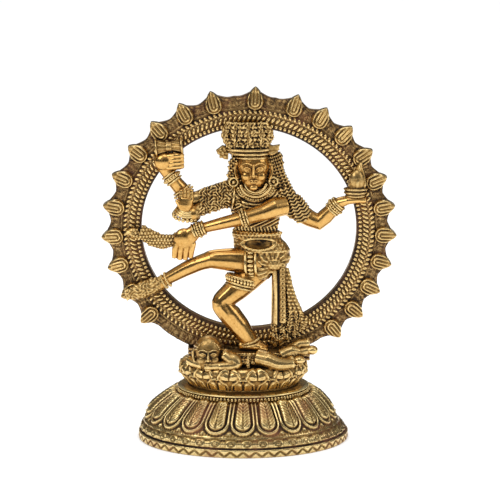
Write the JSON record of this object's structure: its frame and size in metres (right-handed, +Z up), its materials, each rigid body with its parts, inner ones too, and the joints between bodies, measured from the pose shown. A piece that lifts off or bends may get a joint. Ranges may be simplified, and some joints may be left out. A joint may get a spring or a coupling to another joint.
{
  "type": "nataraja statue",
  "caption": "Cast brass statue of a four-armed dancer in a ring of flames, standing on a lotus seat over a petalled oval base.",
  "frame": {"origin": "centre of the standing surface under the statue, which is the bottom centre of its box", "axes": "+Z up, +X to the viewer's right, and the dancer faces -Y"},
  "size_m": [0.2009, 0.105, 0.2451],
  "materials": {
    "base_brass": "antique cast brass, brown in the engraving",
    "lotus_brass": "antique cast brass, brown between the petals",
    "ring_brass": "antique cast brass, dark in the rope work",
    "flame_brass": "antique cast brass, rubbed bright on the ridges",
    "dwarf_brass": "antique cast brass, dull and brown in the hollows",
    "skin_brass": "cast brass polished smooth by hand",
    "face_brass": "cast brass, rubbed bright on the high points",
    "ornament_brass": "antique cast brass, rubbed bright on the ridges",
    "zinc_steel": "plain zinc plated steel"
  },
  "bodies": {
    "root": {"base_shell": "base_brass", "cornice_plate": "base_brass", "lotus_seat": "lotus_brass", "flame_ring": "ring_brass", "ring_saddle": "ring_brass", "ring_flames": "flame_brass", "dwarf_body": "dwarf_brass", "dwarf_head": "dwarf_brass", "dwarf_near_arm": "dwarf_brass", "dwarf_far_arm": "dwarf_brass", "dwarf_near_leg": "dwarf_brass", "dwarf_far_leg": "dwarf_brass", "torso": "skin_brass", "head": "face_brass", "headdress": "ornament_brass", "skirt": "ornament_brass", "raised_leg": "skin_brass", "standing_leg": "skin_brass", "back_right_arm": "skin_brass", "back_left_arm": "skin_brass", "front_right_arm": "skin_brass", "front_left_arm": "skin_brass", "hair_locks": "ornament_brass", "damaru_drum": "ornament_brass", "fire_bowl": "ornament_brass", "snake": "ornament_brass", "front_sash": "ornament_brass", "side_sash": "ornament_brass", "waist_belt": "ornament_brass", "raised_thigh_cuff": "ornament_brass", "standing_thigh_cuff": "ornament_brass", "necklace": "ornament_brass", "right_earring": "ornament_brass", "left_earring": "ornament_brass", "front_left_armlet": "ornament_brass", "front_left_bangle": "ornament_brass", "back_right_armlet": "ornament_brass", "back_right_bangle": "ornament_brass", "back_left_bangle": "ornament_brass", "raised_anklet": "ornament_brass", "standing_anklet": "ornament_brass", "crescent_ornament": "ornament_brass", "hair_flower": "ornament_brass", "fixing_stud": "zinc_steel", "fixing_washer": "zinc_steel", "fixing_nut": "zinc_steel"}
  },
  "joints": []
}
